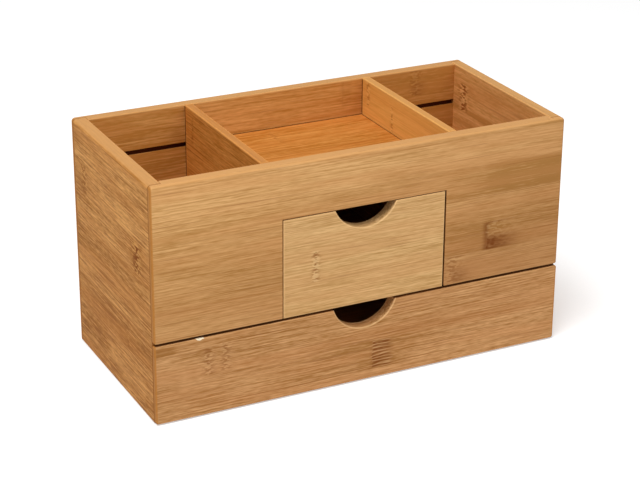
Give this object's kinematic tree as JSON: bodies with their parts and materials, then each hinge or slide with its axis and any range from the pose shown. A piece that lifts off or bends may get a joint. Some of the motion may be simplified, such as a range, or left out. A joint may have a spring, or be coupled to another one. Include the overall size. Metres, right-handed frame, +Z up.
{
  "type": "makeup storage box",
  "caption": "Bamboo desk box for makeup, with open compartments on top, a small inset drawer and a full-width drawer below.",
  "frame": {"origin": "on the ground under the middle of the box", "axes": "+X to the right along the front, +Y to the back, +Z up; the front faces -Y"},
  "size_m": [0.3, 0.142, 0.165],
  "materials": {
    "bamboo_side": "satin lacquer over laminated bamboo, strips running front to back",
    "bamboo_front": "satin lacquer over laminated bamboo, strips running left to right",
    "bamboo_tray": "satin lacquer over thin bamboo panel, orange toned",
    "bamboo_light": "satin lacquer over laminated bamboo, paler board",
    "bamboo_dark": "satin lacquer over laminated bamboo, slightly darker board",
    "bamboo_inner": "smooth bamboo with a thin lacquer"
  },
  "bodies": {
    "box": {"left_side": "bamboo_side", "right_side": "bamboo_side", "front_panel": "bamboo_front", "back_panel": "bamboo_front", "left_divider": "bamboo_side", "right_divider": "bamboo_side", "tray_floor": "bamboo_tray", "middle_shelf": "bamboo_inner", "base_panel": "bamboo_inner"},
    "small_drawer": {"small_drawer_front": "bamboo_light", "small_drawer_left_side": "bamboo_inner", "small_drawer_right_side": "bamboo_inner", "small_drawer_back": "bamboo_inner", "small_drawer_bottom": "bamboo_inner"},
    "large_drawer": {"large_drawer_front": "bamboo_dark", "large_drawer_left_side": "bamboo_inner", "large_drawer_right_side": "bamboo_inner", "large_drawer_back": "bamboo_inner", "large_drawer_bottom": "bamboo_inner"}
  },
  "joints": [
    {"name": "small_drawer_slide", "type": "slide", "parent": "box", "child": "small_drawer", "axis": [0, -1, 0], "range_m": [0, 0.1]},
    {"name": "large_drawer_slide", "type": "slide", "parent": "box", "child": "large_drawer", "axis": [0, -1, 0], "range_m": [0, 0.1]}
  ]
}
